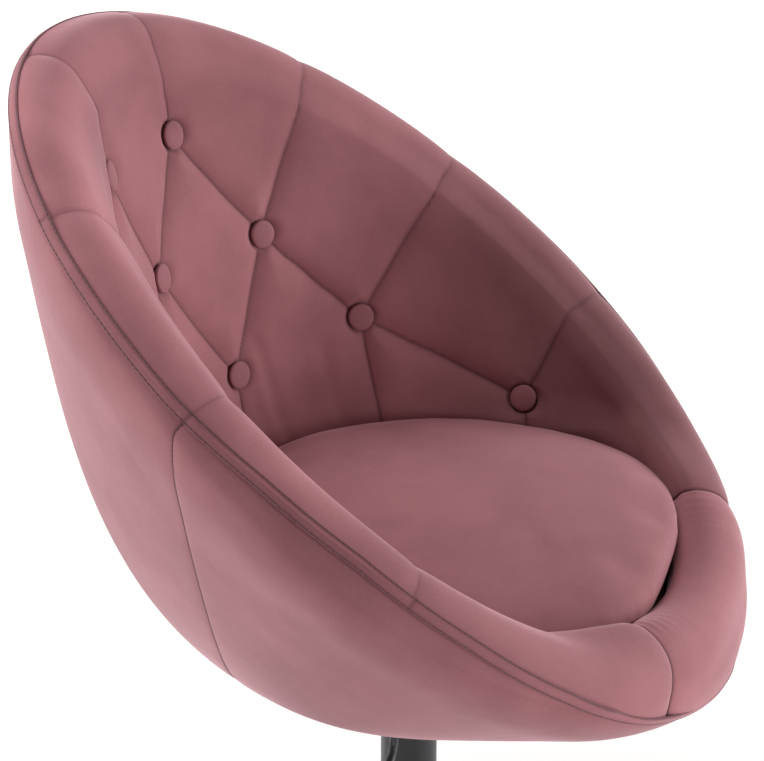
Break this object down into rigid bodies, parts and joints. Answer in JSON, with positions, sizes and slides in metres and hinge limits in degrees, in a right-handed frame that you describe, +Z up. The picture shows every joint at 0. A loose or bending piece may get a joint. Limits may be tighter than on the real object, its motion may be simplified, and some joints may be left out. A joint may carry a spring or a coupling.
{
  "type": "styling chair",
  "caption": "Swivel bucket chair with a tufted velvet back, padded rim roll, round cushion, gas-lift column with lever, and a round trumpet base.",
  "frame": {"origin": "on the floor, on the axis of the gas-lift column", "axes": "+Z up along the column; the seat faces -Y at rest and the sitter's right hand, with the lever, is at -X"},
  "size_m": [0.6376, 0.5937, 0.8438],
  "materials": {
    "velvet": "short-pile dusty-rose velvet",
    "velvet_roll": "short-pile dusty-rose velvet over soft foam",
    "velvet_button": "velvet-covered button",
    "dust_cloth": "black non-woven cloth",
    "black_coat": "satin black powder coat",
    "black_steel": "black phosphated steel",
    "bright_steel": "ground or zinc-plated steel",
    "cast_iron": "rough cast iron",
    "rubber": "moulded black rubber",
    "black_plastic": "moulded black nylon",
    "shell_plastic": "moulded black polypropylene",
    "plywood": "birch plywood",
    "brass": "turned brass"
  },
  "bodies": {
    "base": {"floor_ring": "rubber", "ballast_plate": "cast_iron", "base_cover": "black_coat", "base_hub": "black_steel", "hub_screws": "bright_steel", "hub_collar": "black_plastic", "outer_tube": "black_coat", "tube_end_plate": "black_steel", "guide_bush": "black_plastic", "bearing_washer_lower": "bright_steel"},
    "spindle": {"gas_rod": "bright_steel", "piston_head": "black_steel", "bearing_balls": "bright_steel", "bearing_washer_upper": "bright_steel", "rubber_bumper": "rubber", "retaining_clip": "bright_steel"},
    "seat": {"pressure_tube": "black_steel", "rod_seal": "rubber", "valve_block": "brass", "taper_socket": "black_steel", "mechanism_channel": "black_steel", "mechanism_plate": "black_steel", "lever_pivot_pin": "bright_steel", "pivot_clips": "bright_steel", "seat_bolts": "bright_steel", "bolt_washers": "bright_steel", "tee_nuts": "bright_steel", "dust_cover": "dust_cloth", "dust_cover_staples": "bright_steel", "bucket_shell": "shell_plastic", "bottom_board": "plywood", "deck_supports": "plywood", "deck_screws": "bright_steel", "seat_deck": "plywood", "outer_cover_back": "velvet", "outer_cover_front": "velvet", "welt_band": "velvet", "tufted_back_pad": "velvet", "rim_roll": "velvet_roll", "front_bolster": "velvet_roll", "back_buttons": "velvet_button", "button_shanks": "bright_steel", "seat_cushion": "velvet_roll"},
    "lever": {"lever_rod": "black_coat", "lever_grip": "black_plastic"},
    "release_pin": {"release_pin": "bright_steel"}
  },
  "joints": [
    {"name": "seat_swivel", "type": "hinge", "parent": "base", "child": "spindle", "pos_m": [0, 0, 0], "axis": [0, 0, 1], "continuous": true},
    {"name": "seat_lift", "type": "slide", "parent": "spindle", "child": "seat", "axis": [0, 0, 1], "range_m": [0, 0.12]},
    {"name": "lever_pivot", "type": "hinge", "parent": "seat", "child": "lever", "pos_m": [-0.022, 0, 0.3221], "axis": [0, 1, 0], "range_deg": [0, 7.5], "stiffness_Nm_per_rad": 1.5, "springref_deg": -8.59},
    {"name": "pin_press", "type": "slide", "parent": "seat", "child": "release_pin", "axis": [0, 0, -1], "range_m": [0, 0.0037]}
  ],
  "couplings": [
    {"joint": "pin_press", "follows": "lever_pivot", "m_per_rad": 0.0255}
  ]
}
